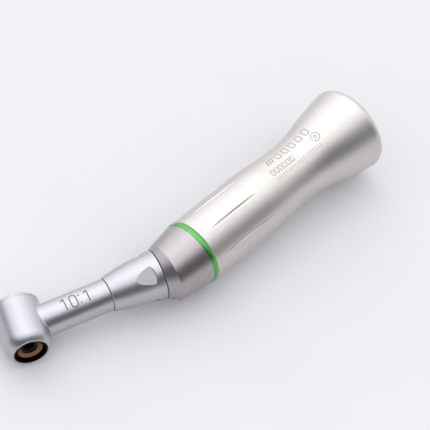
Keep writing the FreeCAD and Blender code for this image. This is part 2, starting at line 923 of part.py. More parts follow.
def ring_gear():
    """Fixed ring gear that the planets walk round."""
    module = d.planet_module.value
    teeth = int(d.ring_teeth.value)
    pitch = teeth * module / 2
    length = d.ring_gear_end.value - d.ring_gear_at.value
    gap = math.pi * module / 2 + d.backlash.value
    hole = gear_face(teeth, module, pitch - 0.9 * module, pitch + 1.2 * module, gap)
    blank = Part.makeCylinder(d.spigot_radius.value, length)
    feature = doc.addObject("Part::Feature", "ring_gear")
    feature.Label = "ring_gear"
    feature.Shape = only_solid(blank.cut(hole.extrude(Vector(0, 0, length))), "ring_gear")
    half_pitch = 180.0 / teeth
    return place(feature, "handle", d.ring_gear_at, half_pitch)


def orbit_radius():
    return (d.sun_teeth.value + d.planet_teeth.value) * d.planet_module.value / 2


def planet_gears():
    """Planets, each with a tooth gap facing the sun and another facing the ring gear."""
    count = int(d.planets.value)
    for index in range(count):
        gear = spur_gear("planet_gear_%d" % (index + 1), d.planet_teeth,
                         d.planet_pin.value + d.planet_pin_clearance.value,
                         d.planet_gear_width.value)
        angle = 360.0 * index / count
        away = Rotation(Vector(0, 0, 1), angle).multVec(Vector(orbit_radius(), 0, 0))
        place(gear, "handle", d.planet_gear_at, angle + 180.0 / d.planet_teeth.value, (away.x, away.y))


def sun_gear():
    gear = spur_gear("sun_gear", d.sun_teeth, d.sun_bore.value, d.planet_gear_width.value)
    return place(gear, "handle", d.sun_gear_at)


def cone_point(distance, angle):
    """(radius, height) of a point at a distance from a bevel gear's apex."""
    return distance * math.sin(angle), distance * math.cos(angle)


def bevel_gear(label, teeth, mate_teeth, shaft_angle, reach, inner, shift, bore, back, hub):
    """Straight bevel gear with its apex at the origin and its axis along Z.

    The teeth are what is left between pyramid-shaped gaps that all meet at the apex.  Their shape
    is that of the spur gear that rolls on the back cone, lengthened by shift modules at the tip.
    """
    pitch_angle = math.atan2(math.sin(shaft_angle), mate_teeth / teeth + math.cos(shaft_angle))
    module = 2 * reach * math.sin(pitch_angle) / teeth
    tip_angle = pitch_angle + (1.0 + shift) * module / reach
    outer_tip = cone_point(reach, tip_angle)
    inner_tip = cone_point(inner, tip_angle)
    outline = [
        inner_tip, outer_tip, (outer_tip[0], back), (hub[0], back), (hub[0], hub[1]),
        (bore, hub[1]), (bore, inner_tip[1]),
    ]
    corners = [Vector(radius, 0, height) for radius, height in outline]
    blank = Part.Face(Part.makePolygon(corners + corners[:1]))
    blank = blank.revolve(Vector(0, 0, 0), Vector(0, 0, 1), 360)
    gap = tooth_gap(teeth, module, pitch_angle, reach, shift)
    gaps = []
    for tooth in range(teeth):
        turned = gap.copy()
        turned.rotate(Vector(0, 0, 0), Vector(0, 0, 1), 360.0 * (tooth + 0.5) / teeth)
        gaps.append(turned)
    feature = doc.addObject("Part::Feature", label)
    feature.Label = label
    feature.Shape = only_solid(blank.cut(Part.makeCompound(gaps)), label)
    return feature


def tooth_gap(teeth, module, pitch_angle, reach, shift):
    """A pyramid from the apex through the gap between two teeth."""
    rolling_radius = teeth * module / (2 * math.cos(pitch_angle))
    rolling_teeth = 2 * rolling_radius / module
    pressure = math.radians(d.pressure_angle.value)
    thickness = module * (math.pi / 2 + 2 * shift * math.tan(pressure)) - d.bevel_backlash.value
    low = rolling_radius - (1.25 - shift) * module
    high = rolling_radius + (1.6 + shift) * module
    along = Vector(math.sin(pitch_angle), 0, math.cos(pitch_angle))
    outward = Vector(math.cos(pitch_angle), 0, -math.sin(pitch_angle))
    side = Vector(0, 1, 0)
    beyond = 1.25
    flank = []
    for radius in flank_radii(low, high, 5):
        half = math.pi / rolling_teeth - half_tooth(radius, rolling_teeth, module, thickness)
        flank.append((radius * math.cos(half) - rolling_radius, radius * math.sin(half)))
    peak = [(1.3 * high - rolling_radius, 0.0)]
    loop = flank + peak + [(up, -across) for up, across in flank[::-1]]
    base = [(along * reach + outward * up + side * across) * beyond for up, across in loop]
    apex = Vector(0, 0, 0)
    faces = [Part.Face(Part.makePolygon(base + base[:1]))]
    for start, end in zip(base, base[1:] + base[:1]):
        faces.append(Part.Face(Part.makePolygon([apex, start, end, apex])))
    solid = Part.makeSolid(Part.makeShell(faces))
    if solid.Volume < 0:
        solid.reverse()
    return solid


def bend_gears():
    """Pair of nearly flat crown gears that mesh on the inner side of the bend."""
    teeth = int(d.bend_teeth.value)
    shaft_angle = math.radians(180.0 - d.bend_angle.value)
    half_pitch = 180.0 / teeth
    for label, axis, at, bore, turned in (
            ("bend_gear_rear", "handle", d.bend_at, d.shaft_journal.value - 0.5, 0.0),
            ("bend_gear_front", "neck", 0.0, d.neck_journal.value, half_pitch)):
        gear = bevel_gear(label, teeth, teeth, shaft_angle, d.bend_gear_reach.value,
                          d.bend_gear_inner.value, 0.0, bore, 1.4, (2.0, 2.2))
        place(gear, axis, at, turned)


def head_gears():
    """Pinion on the neck shaft and twice-as-large gear on the chuck spindle."""
    shaft_angle = math.radians(90.0 + d.bur_tilt.value)
    pinion_teeth = int(d.pinion_teeth.value)
    head_teeth = int(d.head_teeth.value)
    shift = 0.3
    pinion = bevel_gear("neck_pinion", pinion_teeth, head_teeth, shaft_angle,
                        d.head_gear_reach.value, d.head_gear_inner.value, shift,
                        d.neck_tip_radius.value, 3.0, (1.3, 3.3))
    backwards = Placement(Vector(0, 0, 0), Rotation(Vector(0, 1, 0), 180.0))
    pinion.Placement = FRAMES["neck"] * Placement(Vector(0, 0, d.neck_length.value), Rotation()) * backwards
    parts.append(pinion)
    gear = bevel_gear("head_gear", head_teeth, pinion_teeth, shaft_angle,
                      d.head_gear_reach.value, d.head_gear_inner.value, -shift,
                      d.head_journal.value, d.head_gear_back.value, (2.2, d.head_gear_back.value + 0.2))
    place(gear, "head", 0.0, 180.0 / head_teeth)


# --- shafts ------------------------------------------------------------------------------------

def planet_carrier():
    """Output of the planet stage: a plate with three pin holes on a short shaft."""
    body = new_body("planet_carrier")
    start = d.carrier_shaft_front
    plate = d.carrier_plate_at - start
    tip = d.shaft_journal - 0.5
    shoulder = d.carrier_seat_front - start
    turn(body, [
        (0, 0),
        (tip, 0),
        (tip, shoulder),
        (d.shaft_journal, shoulder),
        (d.shaft_journal, shoulder + d.carrier_bearing_width),
        (d.shaft_collar, shoulder + d.carrier_bearing_width),
        (d.shaft_collar, plate),
        (d.carrier_plate_radius, plate),
        (d.carrier_plate_radius, plate + d.carrier_plate),
        (0, plate + d.carrier_plate),
    ])
    doc.recompute()
    plain_volume = body.Shape.Volume
    offset = Placement(Vector(0, 0, plate.value), Rotation())
    sketch = new_sketch(body, "XY_Plane", offset)
    draw_circle(sketch, (d.sun_teeth + d.planet_teeth) * d.planet_module / 2, 0, d.planet_pin)
    pocket = cut_through(body, sketch, d.carrier_plate, reverse=True)
    must_cut(body, plain_volume, "pin hole")
    repeat_around(body, pocket, d.planets)
    return place(body, "handle", start)


def planet_pins():
    """Three pins pressed into the carrier, one for each planet."""
    length = d.planet_gear_at + d.planet_gear_width - d.carrier_plate_at
    pins = []
    for index in range(int(d.planets.value)):
        angle = 2 * math.pi * index / d.planets.value
        foot = Vector(math.cos(angle), math.sin(angle), 0) * orbit_radius()
        pins.append(Part.makeCylinder(d.planet_pin.value, length.value, foot))
    feature = doc.addObject("Part::Feature", "planet_pins")
    feature.Label = "planet_pins"
    feature.Shape = Part.makeCompound(pins)
    return place(feature, "handle", d.carrier_plate_at)


def input_shaft():
    """Shaft from the motor's dog to the sun gear, with a hexagon for the sliding dog."""
    body = new_body("input_shaft")
    start = d.sun_gear_at
    front = d.shaft_bearing_front - start
    rear = d.shaft_bearing_rear - start
    hexagon = d.housing_rear - start
    neck = d.sun_bore + 0.25
    turn(body, [
        (0, 0),
        (d.sun_bore, 0),
        (d.sun_bore, d.planet_gear_width),
        (neck, d.planet_gear_width),
        (neck, front),
        (d.shaft_journal, front),
        (d.shaft_journal, front + d.carrier_bearing_width),
        (d.shaft_collar, front + d.carrier_bearing_width),
        (d.shaft_collar, rear),
        (d.shaft_journal, rear),
        (d.shaft_journal, hexagon),
        (0, hexagon),
    ])
    sketch = new_sketch(body, "XY_Plane", Placement(Vector(0, 0, hexagon.value), Rotation()))
    draw_hexagon(sketch, d.hex_half_width)
    pad = body.newObject("PartDesign::Pad", "input_shaft_hexagon")
    pad.Profile = sketch
    pad.setExpression("Length", (d.shaft_rear - d.housing_rear).text)
    groove = d.clip_at - start
    corner = d.hex_half_width * 1.3
    bottom = d.hex_half_width - d.clip_depth
    turn(body, ring_outline(bottom, corner, groove, groove + d.clip_width), cut=True)
    return place(body, "handle", start)


def draw_hexagon(sketch, half_width):
    """A hexagon about the sketch's origin, bound by the distance of its flats."""
    corner = half_width.value / math.cos(math.pi / 6)
    corners = []
    for index in range(6):
        angle = math.pi / 3 * index
        corners.append(Vector(corner * math.cos(angle), corner * math.sin(angle), 0))
    edges = []
    for start, end in zip(corners, corners[1:] + corners[:1]):
        edges.append(sketch.addGeometry(Part.LineSegment(start, end), False))
    for first, second in zip(edges, edges[1:] + edges[:1]):
        sketch.addConstraint(Sketcher.Constraint("Coincident", first, 2, second, 1))


def dog_clip():
    """Open retaining ring in the groove at the end of the hexagon."""
    inner = d.hex_half_width.value - d.clip_depth.value + 0.02
    height = d.clip_width.value - 0.04
    clip = Part.makeCylinder(d.clip_radius.value, height)
    clip = clip.cut(Part.makeCylinder(inner, height))
    gap = inner * 1.2
    clip = clip.cut(Part.makeBox(d.clip_radius.value, gap, height, Vector(0, -gap / 2, 0)))
    feature = doc.addObject("Part::Feature", "dog_clip")
    feature.Label = "dog_clip"
    feature.Shape = only_solid(clip, "dog_clip")
    return place(feature, "handle", d.clip_at + 0.02)


def drive_dog():
    """Sprung dog that slides on the hexagon and takes the motor's drive with two claws."""
    body = new_body("drive_dog")
    start = d.dog_front
    shoulder = d.dog_shoulder - start
    length = d.dog_rear - start
    turn(body, [
        (0, 0),
        (d.dog_radius - 0.4, 0),
        (d.dog_radius, 0.4),
        (d.dog_radius, length - 0.3),
        (d.dog_radius - 0.3, length),
        (d.dog_cup, length),
        (d.dog_cup, shoulder),
        (0, shoulder),
    ])
    doc.recompute()
    solid_volume = body.Shape.Volume
    hole = new_sketch(body, "XY_Plane")
    draw_hexagon(hole, d.hex_half_width + d.hex_clearance)
    cut_through(body, hole, shoulder, reverse=True)
    must_cut(body, solid_volume, "hexagon hole")
    bored_volume = body.Shape.Volume
    depth = d.dog_slot_depth
    slot = new_sketch(body, "XY_Plane", Placement(Vector(0, 0, (length - depth).value), Rotation()))
    half = d.dog_slot_width / 2
    reach = d.dog_radius + 1.0
    draw_outline(slot, [(-reach, -half), (reach, -half), (reach, half), (-reach, half)])
    cut_through(body, slot, depth, reverse=True)
    must_cut(body, bored_volume, "claw slot")
    return place(body, "handle", start)


def wire_section(coil, wire):
    """Closed round outline of a wire, in arcs short enough to mesh finely."""
    count = 8
    points = []
    for index in range(2 * count):
        angle = math.pi * index / count
        points.append(Vector(coil + wire * math.cos(angle), 0, wire + wire * math.sin(angle)))
    arcs = []
    for index in range(0, 2 * count, 2):
        after = points[(index + 2) % (2 * count)]
        arcs.append(Part.Arc(points[index], points[index + 1], after).toShape())
    return Part.Wire(arcs)


def coil_spring(label, axis, at, coil, end_coil, wire, free_length, turns):
    """Round-wire compression spring between two faces, straight or conical."""
    rise = free_length - 2 * wire
    slant = math.hypot(rise, end_coil - coil)
    cone = math.degrees(math.atan2(end_coil - coil, rise))
    helix = Part.makeHelix(slant / turns, slant, coil, cone)
    helix.translate(Vector(0, 0, wire))
    path = Part.Wire(helix.Edges)
    feature = doc.addObject("Part::Feature", label)
    feature.Label = label
    feature.Shape = path.makePipeShell([wire_section(coil, wire)], True, True)
    return place(feature, axis, at)


def dog_spring():
    start = d.housing_rear + 0.1
    coil = d.dog_coil.value
    return coil_spring("dog_spring", "handle", start, coil, coil, d.dog_wire.value,
                       d.dog_front.value - start.value - 0.05, d.dog_turns.value)


def button_spring():
    start = d.cap_top + d.cap_lip + 0.02 + d.button_flange_thick
    return coil_spring("button_spring", "head", start + 0.03, d.button_coil.value,
                       d.button_coil_end.value, d.button_wire.value,
                       (d.cap_seat_at - d.cap_ledge - start).value - 0.06,
                       d.button_turns.value)


def neck_shaft():
    """Long shaft through the neck, from the front bend gear to the pinion."""
    body = new_body("neck_shaft")
    start = d.neck_shaft_rear
    front = d.neck_shaft_front - start
    tip = d.neck_shaft_tip - start
    turn(body, [
        (0, 0),
        (d.neck_journal, 0),
        (d.neck_journal, front),
        (d.neck_tip_radius, front),
        (d.neck_tip_radius, tip),
        (0, tip),
    ])
    return place(body, "neck", start)


def neck_bush():
    """Plain bronze bush behind the pinion."""
    body = new_body("neck_bush")
    inner = d.neck_journal + d.running_clearance
    turn(body, ring_outline(inner, d.neck_bore, 0, d.bush_length))
    return place(body, "neck", d.bush_at)


def chuck_spindle():
    """Hollow spindle that turns in the head's two bearings."""
    body = new_body("chuck_spindle")
    start = d.spindle_top
    length = d.spindle_bottom - start
    turn(body, ring_outline(d.spindle_bore, d.head_journal, 0, length))
    return place(body, "head", start)


def chuck_collet():
    """Brass collet that grips the bur's shank, slotted from the top, with a dished, stepped mouth."""
    body = new_body("chuck_collet")
    start = d.collet_top
    length = d.collet_end - start
    flange = d.collet_flange_at - start
    dish = length - d.collet_dish
    step = dish - d.collet_step
    turn(body, [
        (d.bur_bore, 0),
        (d.collet_outer, 0),
        (d.collet_outer, flange),
        (d.collet_flange, flange),
        (d.collet_flange, length - 0.15),
        (d.collet_flange - 0.15, length),
        (d.collet_mouth, dish),
        (d.collet_mouth, step),
        (d.bur_bore, step - d.collet_lead),
    ])
    doc.recompute()
    whole_volume = body.Shape.Volume
    sketch = new_sketch(body, "XY_Plane")
    half = d.collet_slot_width / 2
    inner = d.bur_bore - 0.3
    outer = d.collet_outer + 0.3
    draw_outline(sketch, [(inner, -half), (outer, -half), (outer, half), (inner, half)])
    pocket = cut_through(body, sketch, d.collet_slot_length, reverse=True)
    must_cut(body, whole_volume, "collet slot")
    repeat_around(body, pocket, d.collet_slots)
    return place(body, "head", start)


# --- the whole handpiece -----------------------------------------------------------------------

def build_all():
    handle_shell()
    ratio_ring()
    nose_cone()
    front_sleeve()
    head_neck()
    head_cap()
    push_button()
    button_spring()
    chuck_spindle()
    head_gears()
    chuck_collet()
    neck_shaft()
    neck_bush()
    bend_gears()
    planet_carrier()
    planet_pins()
    planet_gears()
    sun_gear()
    ring_gear()
    input_shaft()
    shaft_housing()
    drive_dog()
    dog_spring()
    dog_clip()
    coupling_sleeve()
    all_bearings()
    doc.recompute()


def lay_down():
    """Tip the handpiece onto flare and head, and centre it on the point it stands over."""
    pitch = Rotation(Vector(0, 1, 0), -d.rest_pitch.value)
    roll = Rotation(Vector(1, 0, 0), d.rest_roll.value)
    resting = Placement(Vector(0, 0, 0), pitch * roll)
    for part in parts:
        part.Placement = resting * part.Placement
    doc.recompute()
    box = Part.makeCompound([part.Shape for part in parts]).optimalBoundingBox(False, False)
    centre = Vector((box.XMin + box.XMax) / 2, (box.YMin + box.YMax) / 2, box.ZMin)
    for part in parts:
        part.Placement = Placement(-centre, Rotation()) * part.Placement
    doc.recompute()


def check_all():
    for item in doc.Objects:
        if "Invalid" in item.State or "Error" in item.State:
            raise RuntimeError("%s did not build: %s" % (item.Label, item.State))
    for part in parts:
        if part.Shape.isNull() or not part.Shape.isValid() or part.Shape.Volume <= 0:
            raise RuntimeError("%s has no sound solid" % part.Label)


def write_all():
    os.makedirs("parts", exist_ok=True)
    for part in parts:
        part.Shape.exportStep("parts/%s.step" % part.Label)


build_all()
lay_down()
check_all()
write_all()
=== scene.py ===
import json
import math

import bmesh
import bpy
from mathutils import Matrix, Vector
from mathutils.bvhtree import BVHTree

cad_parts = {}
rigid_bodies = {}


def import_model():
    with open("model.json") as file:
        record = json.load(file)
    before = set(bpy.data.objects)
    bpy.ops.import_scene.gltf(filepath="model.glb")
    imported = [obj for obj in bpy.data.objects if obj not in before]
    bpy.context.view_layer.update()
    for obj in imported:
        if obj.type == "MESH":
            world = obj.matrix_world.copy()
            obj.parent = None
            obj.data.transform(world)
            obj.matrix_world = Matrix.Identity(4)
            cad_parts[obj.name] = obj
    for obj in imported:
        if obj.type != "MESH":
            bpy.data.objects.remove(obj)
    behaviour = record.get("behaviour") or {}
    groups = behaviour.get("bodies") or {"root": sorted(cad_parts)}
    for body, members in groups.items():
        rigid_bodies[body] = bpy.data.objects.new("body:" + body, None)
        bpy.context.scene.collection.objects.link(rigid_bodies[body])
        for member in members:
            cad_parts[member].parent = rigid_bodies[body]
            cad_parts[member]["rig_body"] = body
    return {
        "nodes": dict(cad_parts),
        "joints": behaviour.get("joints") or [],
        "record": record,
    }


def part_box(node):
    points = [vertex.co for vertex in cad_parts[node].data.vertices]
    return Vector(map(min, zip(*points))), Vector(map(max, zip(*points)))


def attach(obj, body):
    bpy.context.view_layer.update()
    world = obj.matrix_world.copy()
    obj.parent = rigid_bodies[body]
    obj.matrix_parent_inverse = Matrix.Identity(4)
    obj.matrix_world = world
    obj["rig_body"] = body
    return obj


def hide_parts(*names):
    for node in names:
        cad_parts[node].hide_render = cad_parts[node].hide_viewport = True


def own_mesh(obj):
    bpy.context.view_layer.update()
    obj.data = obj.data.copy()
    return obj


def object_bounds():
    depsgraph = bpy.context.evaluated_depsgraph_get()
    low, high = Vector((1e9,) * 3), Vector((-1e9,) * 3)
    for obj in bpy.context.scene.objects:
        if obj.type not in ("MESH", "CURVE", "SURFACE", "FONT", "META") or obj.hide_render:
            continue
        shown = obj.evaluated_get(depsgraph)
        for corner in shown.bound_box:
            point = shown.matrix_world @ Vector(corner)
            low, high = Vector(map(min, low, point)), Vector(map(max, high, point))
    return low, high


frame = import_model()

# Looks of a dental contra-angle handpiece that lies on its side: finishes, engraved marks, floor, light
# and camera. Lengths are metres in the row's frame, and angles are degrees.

CAD_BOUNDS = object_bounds()
MM = 0.001
JOINTS = {joint["name"]: joint for joint in frame["joints"]}


class Axis:
    """A line of the handpiece, with the directions that azimuths about it are counted in."""

    def __init__(self, joint, up):
        self.origin = Vector(JOINTS[joint]["pos_m"])
        self.along = Vector(JOINTS[joint]["axis"]).normalized()
        self.up = (up - self.along * up.dot(self.along)).normalized()
        self.side = self.up.cross(self.along)

    def point(self, along, azimuth, radius):
        """The point at a distance along the axis, an azimuth from up towards side, and a radius."""
        return self.origin + self.along * along + self.outward(azimuth) * radius

    def outward(self, azimuth):
        turn = math.radians(azimuth)
        return self.up * math.cos(turn) + self.side * math.sin(turn)


def shared_normal():
    """The direction square to both the grip and the neck, which points up as the part lies."""
    grip = Vector(JOINTS["carrier_spin"]["axis"])
    neck = Vector(JOINTS["neck_spin"]["axis"])
    return grip.cross(neck).normalized()


UP = shared_normal()
GRIP = Axis("carrier_spin", UP)
NECK = Axis("neck_spin", UP)
HEAD = Axis("chuck_spin", UP)


# ---------------------------------------------------------------------------------------------------
# Materials
# ---------------------------------------------------------------------------------------------------

NOISE_LOW = 0.3
NOISE_HIGH = 0.7
# Painted shade in bores: the near-black colour, the soft edge and the radii within which it is painted
# into the head's opening and the collet's bore.
PAINTED_BORE_SHADE = (0.012, 0.010, 0.009)
BORE_SHADE_EDGE = 0.04 * MM
HEAD_BORE = 3.75 * MM
BUR_BORE = 1.79 * MM


class Look:
    """A Principled material and the nodes that give it colour, roughness and relief."""

    def __init__(self, name, colour, metallic, roughness):
        self.material = bpy.data.materials.new(name)
        self.material.use_nodes = True
        self.tree = self.material.node_tree
        self.shader = self.tree.nodes["Principled BSDF"]
        self.shader.inputs["Base Color"].default_value = (*colour, 1)
        self.shader.inputs["Metallic"].default_value = metallic
        self.shader.inputs["Roughness"].default_value = roughness
        self.place = self.node("ShaderNodeTexCoord").outputs["Object"]

    def node(self, kind, **settings):
        made = self.tree.nodes.new(kind)
        for key, value in settings.items():
            setattr(made, key, value)
        return made

    def join(self, source, target):
        self.tree.links.new(source, target)

    def feed(self, value, socket):
        if isinstance(value, bpy.types.NodeSocket):
            self.join(value, socket)
        else:
            socket.default_value = value

    def vector_math(self, operation, *values):
        made = self.node("ShaderNodeVectorMath", operation=operation)
        for socket, value in zip(made.inputs, values):
            self.feed(value, socket)
        return made.outputs

    def noise(self, scale, detail=2.0, place=None, roughness=0.5):
        """Noise from 0 to 1 whose grain is about 1/scale metres."""
        made = self.node("ShaderNodeTexNoise")
        made.inputs["Scale"].default_value = scale
        made.inputs["Detail"].default_value = detail
        made.inputs["Roughness"].default_value = roughness
        self.join(place or self.place, made.inputs["Vector"])
        return made.outputs["Fac"]

    def spread(self, value, low, high):
        """Maps noise, which stays near its middle, onto low to high."""
        made = self.node("ShaderNodeMapRange")
        made.inputs["From Min"].default_value = NOISE_LOW
        made.inputs["From Max"].default_value = NOISE_HIGH
        made.inputs["To Min"].default_value = low
        made.inputs["To Max"].default_value = high
        self.join(value, made.inputs["Value"])
        return made.outputs["Result"]

    def turned_place(self, axis):
        """Distance along an axis and radius from it, so a texture there runs in circles round it."""
        from_origin = self.vector_math("SUBTRACT", self.place, tuple(axis.origin))[0]
        along = self.vector_math("DOT_PRODUCT", from_origin, tuple(axis.along))["Value"]
        arm = self.vector_math("CROSS_PRODUCT", from_origin, tuple(axis.along))[0]
        radius = self.vector_math("LENGTH", arm)["Value"]
        both = self.node("ShaderNodeCombineXYZ")
        self.join(along, both.inputs["X"])
        self.join(radius, both.inputs["Y"])
        return both.outputs["Vector"]

    def vary_colour(self, value, dark, light):
        """Blends the base colour from dark to light by a value from 0 to 1."""
        ramp = self.node("ShaderNodeValToRGB")
        ramp.color_ramp.elements[0].position = NOISE_LOW
        ramp.color_ramp.elements[0].color = (*dark, 1)
        ramp.color_ramp.elements[1].position = NOISE_HIGH
        ramp.color_ramp.elements[1].color = (*light, 1)
        self.join(value, ramp.inputs["Fac"])
        self.join(ramp.outputs["Color"], self.shader.inputs["Base Color"])

    def vary_roughness(self, value, low, high):
        self.join(self.spread(value, low, high), self.shader.inputs["Roughness"])

    def relief(self, *layers):
        """Bump from layers of (height from 0 to 1, depth in metres), one on another."""
        normal = None
        for height, depth in layers:
            bump = self.node("ShaderNodeBump")
            bump.inputs["Distance"].default_value = depth
            self.join(height, bump.inputs["Height"])
            if normal:
                self.join(normal, bump.inputs["Normal"])
            normal = bump.outputs["Normal"]
        self.join(normal, self.shader.inputs["Normal"])


def shade(colour, factor):
    return tuple(channel * factor for channel in colour)


def satin_metal(name, colour, roughness, grain=5200.0, depth=0.2e-6):
    """Bead-blasted and plated metal: fine even grain, faint clouds of tone and sheen."""
    look = Look(name, colour, 1.0, roughness)
    clouds = look.noise(120.0, 3.0)
    look.vary_colour(clouds, shade(colour, 0.97), colour)
    look.vary_roughness(look.noise(700.0, 4.0), roughness - 0.015, roughness + 0.015)
    look.relief((look.noise(grain, 3.0), depth))
    return look


def turned_metal(name, colour, roughness, axis, pitch=9000.0, depth=0.8e-6):
    """Lathe-turned metal: circles round the axis, and faint clouds of tone."""
    look = Look(name, colour, 1.0, roughness)
    circles = look.noise(pitch, 2.0, look.turned_place(axis), 0.6)
    look.vary_colour(circles, shade(colour, 0.9), colour)
    look.vary_roughness(circles, roughness - 0.05, roughness + 0.06)
    look.relief((circles, depth), (look.noise(4000.0), depth * 0.5))
    return look


def paint_bore_shade(look, axis, radius):
    """Painted shade in a bore: the metal within a radius of an axis is painted nearly black, standing
    in for the shade deep in the hole.
    """
    split = look.node("ShaderNodeSeparateXYZ")
    look.join(look.turned_place(axis), split.inputs["Vector"])
    shade_mask = look.node("ShaderNodeMapRange")
    shade_mask.inputs["From Min"].default_value = radius
    shade_mask.inputs["From Max"].default_value = radius - BORE_SHADE_EDGE
    look.join(split.outputs["Y"], shade_mask.inputs["Value"])
    # Mixes the painted shade into the base colour within the radius.
    dark = look.node("ShaderNodeMix", data_type="RGBA")
    dark.inputs["B"].default_value = (*PAINTED_BORE_SHADE, 1)
    base = look.shader.inputs["Base Color"]
    look.join(base.links[0].from_socket, dark.inputs["A"])
    look.join(shade_mask.outputs["Result"], dark.inputs["Factor"])
    look.join(dark.outputs["Result"], base)
    return look


def enamel(name, colour, axis):
    """Glossy coloured band: a thin clear coat over turned metal."""
    look = Look(name, colour, 0.92, 0.2)
    clouds = look.noise(900.0, 3.0)
    look.vary_colour(clouds, shade(colour, 0.88), colour)
    look.relief((look.noise(6000.0, 2.0, look.turned_place(axis)), 0.4e-6))
    look.shader.inputs["Coat Weight"].default_value = 0.25
    look.shader.inputs["Coat Roughness"].default_value = 0.12
    return look


def resin(name, colour):
    """Filled resin of a bearing's cage."""
    look = Look(name, colour, 0.0, 0.55)
    look.vary_colour(look.noise(2500.0, 4.0), shade(colour, 0.75), shade(colour, 1.15))
    look.relief((look.noise(9000.0, 3.0), 2e-6))
    return look


def engraved(name, colour):
    """Laser-annealed mark: dull, dark and slightly mottled."""
    look = Look(name, colour, 0.3, 0.6)
    look.vary_colour(look.noise(8000.0, 3.0), shade(colour, 0.7), shade(colour, 1.25))
    look.relief((look.noise(16000.0, 2.0), 1e-6))
    return look


SILVER = (0.50, 0.503, 0.53)
LOOKS = {
    "champagne_satin": satin_metal("champagne_satin", (0.63, 0.61, 0.58), 0.37),
    "green_ring": enamel("green_ring", (0.10, 0.44, 0.095), GRIP),
    "nose_satin": satin_metal("nose_satin", (0.41, 0.385, 0.39), 0.28),
    # Painted shade: the chrome is painted nearly black within the head's opening.
    "satin_chrome": paint_bore_shade(satin_metal("satin_chrome", SILVER, 0.31), HEAD, HEAD_BORE),
    "button_steel": turned_metal("button_steel", (0.74, 0.73, 0.73), 0.26, HEAD),
    "socket_steel": turned_metal("socket_steel", (0.62, 0.62, 0.63), 0.30, GRIP),
    # Painted shade: the brass is painted nearly black within the collet's bore.
    "brass": paint_bore_shade(turned_metal("brass", (0.225, 0.115, 0.062), 0.30, HEAD), HEAD, BUR_BORE),
    "bronze": turned_metal("bronze", (0.55, 0.36, 0.18), 0.42, NECK),
    "cage_plastic": resin("cage_plastic", (0.30, 0.16, 0.07)),
    "ball_steel": satin_metal("ball_steel", (0.80, 0.80, 0.82), 0.08),
    "bearing_steel": satin_metal("bearing_steel", (0.68, 0.68, 0.70), 0.18),
    "spring_steel": satin_metal("spring_steel", (0.55, 0.55, 0.57), 0.30),
    "gear_steel": satin_metal("gear_steel", (0.50, 0.50, 0.52), 0.34),
    "shaft_steel": turned_metal("shaft_steel", (0.60, 0.60, 0.62), 0.24, GRIP),
}
MARK = engraved("laser_mark", (0.16, 0.16, 0.18))
FAINT_MARK = engraved("faint_laser_mark", (0.46, 0.44, 0.42))


def dress_nodes():
    """Gives each CAD node the finish of its own slot."""
    for part in frame["record"]["subparts"]:
        finish = LOOKS[part["material_slot"]].material
        materials = frame["nodes"][part["node"]].data.materials
        materials.clear()
        materials.append(finish)


def sprung(name, node):
    """Puts a copy of a spring on the body that its CAD node rides on, with a mesh of its own, and hides
    the node.
    """
    held = frame["nodes"][node]
    piece = bpy.data.objects.new(name, held.data.copy())
    bpy.context.scene.collection.objects.link(piece)
    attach(piece, held["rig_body"])
    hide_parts(node)
    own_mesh(piece)


# ---------------------------------------------------------------------------------------------------
# Marks on the outside
# ---------------------------------------------------------------------------------------------------

STROKE_TOP = 0.015 * MM
STROKE_FOOT = -0.02 * MM
LINE_STEP = 0.12 * MM
LOOP_STEP = 0.15 * MM
CORNER_POINTS = 32
BOX_WIDTH = 0.22 * MM


